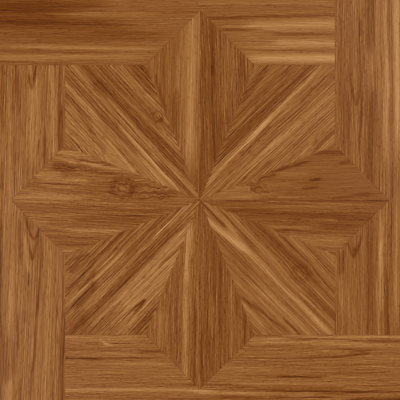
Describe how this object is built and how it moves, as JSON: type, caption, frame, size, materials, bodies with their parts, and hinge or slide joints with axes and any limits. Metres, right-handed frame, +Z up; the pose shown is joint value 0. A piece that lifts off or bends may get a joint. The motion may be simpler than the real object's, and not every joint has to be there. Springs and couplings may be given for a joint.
{
  "type": "parquet panel",
  "caption": "Square solid-wood parquet panel with an inlaid star, corner kites and a pinwheel border, tongued and grooved together and grooved round its edge for loose tongues.",
  "frame": {"origin": "centre of the panel, on its back face", "axes": "+Z up out of the finished face, +Y towards the north edge, which is the top of the picture, +X towards the east edge"},
  "size_m": [0.6, 0.6, 0.02],
  "materials": {
    "border_teak": "sanded and oiled, satin",
    "star_teak": "sanded and oiled, satin",
    "kite_teak": "sanded and oiled, satin"
  },
  "bodies": {
    "root": {"border_north": "border_teak", "border_west": "border_teak", "border_south": "border_teak", "border_east": "border_teak", "star_north_left": "star_teak", "star_north_right": "star_teak", "star_west_left": "star_teak", "star_west_right": "star_teak", "star_south_left": "star_teak", "star_south_right": "star_teak", "star_east_left": "star_teak", "star_east_right": "star_teak", "kite_northwest": "kite_teak", "kite_southwest": "kite_teak", "kite_southeast": "kite_teak", "kite_northeast": "kite_teak"}
  },
  "joints": []
}
